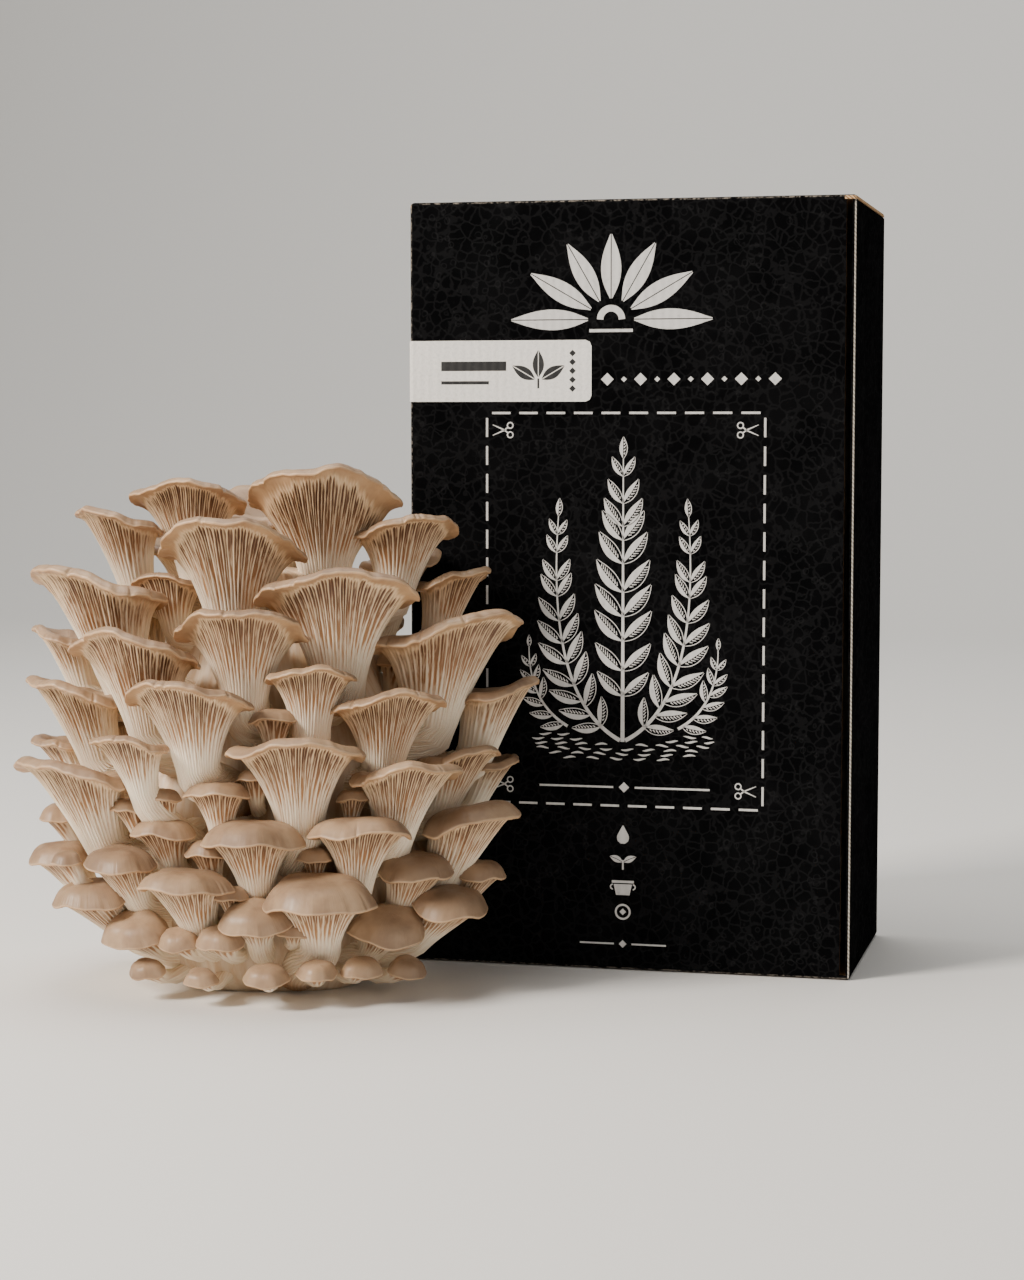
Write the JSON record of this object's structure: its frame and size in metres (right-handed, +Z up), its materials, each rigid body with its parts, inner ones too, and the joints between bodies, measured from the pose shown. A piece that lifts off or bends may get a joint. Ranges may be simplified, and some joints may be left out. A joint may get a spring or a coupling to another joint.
{
  "type": "oyster mushroom grow kit",
  "caption": "Dense cluster of fan-shaped oyster mushrooms on a flat-cut butt, standing before the left corner of a tall closed corrugated carton with a wood grow block inside.",
  "frame": {"origin": "on the floor, under the middle of the whole kit's extents", "axes": "+X along the carton's width to its right, seen from its front, +Y from its front to its back, +Z up"},
  "size_m": [0.2906, 0.2064, 0.28],
  "materials": {
    "carton": "satin black print",
    "label": "matt white",
    "grow_block": "white mycelium in a bag",
    "butt": "soft, pale",
    "mushroom": "soft, tan and cream"
  },
  "bodies": {
    "root": {"carton": "carton", "cluster_butt": "butt", "grow_block": "grow_block", "label": "label", "mushroom_back_1": "mushroom", "mushroom_back_10": "mushroom", "mushroom_back_11": "mushroom", "mushroom_back_12": "mushroom", "mushroom_back_13": "mushroom", "mushroom_back_14": "mushroom", "mushroom_back_15": "mushroom", "mushroom_back_2": "mushroom", "mushroom_back_3": "mushroom", "mushroom_back_4": "mushroom", "mushroom_back_5": "mushroom", "mushroom_back_6": "mushroom", "mushroom_back_7": "mushroom", "mushroom_back_8": "mushroom", "mushroom_back_9": "mushroom", "mushroom_crown_1": "mushroom", "mushroom_crown_2": "mushroom", "mushroom_crown_3": "mushroom", "mushroom_crown_4": "mushroom", "mushroom_crown_5": "mushroom", "mushroom_lower_1": "mushroom", "mushroom_lower_2": "mushroom", "mushroom_lower_3": "mushroom", "mushroom_lower_4": "mushroom", "mushroom_lower_5": "mushroom", "mushroom_lower_6": "mushroom", "mushroom_lower_7": "mushroom", "mushroom_lower_8": "mushroom", "mushroom_lower_9": "mushroom", "mushroom_middle_1": "mushroom", "mushroom_middle_10": "mushroom", "mushroom_middle_2": "mushroom", "mushroom_middle_3": "mushroom", "mushroom_middle_4": "mushroom", "mushroom_middle_5": "mushroom", "mushroom_middle_6": "mushroom", "mushroom_middle_7": "mushroom", "mushroom_middle_8": "mushroom", "mushroom_middle_9": "mushroom", "mushroom_skirt_1": "mushroom", "mushroom_skirt_2": "mushroom", "mushroom_skirt_3": "mushroom", "mushroom_skirt_4": "mushroom", "mushroom_skirt_5": "mushroom", "mushroom_skirt_6": "mushroom", "mushroom_skirt_7": "mushroom", "mushroom_skirt_8": "mushroom", "mushroom_skirt_9": "mushroom", "mushroom_upper_1": "mushroom", "mushroom_upper_2": "mushroom", "mushroom_upper_3": "mushroom", "mushroom_upper_4": "mushroom", "mushroom_upper_5": "mushroom", "mushroom_upper_6": "mushroom", "mushroom_upper_7": "mushroom", "mushroom_upper_8": "mushroom"}
  },
  "joints": []
}
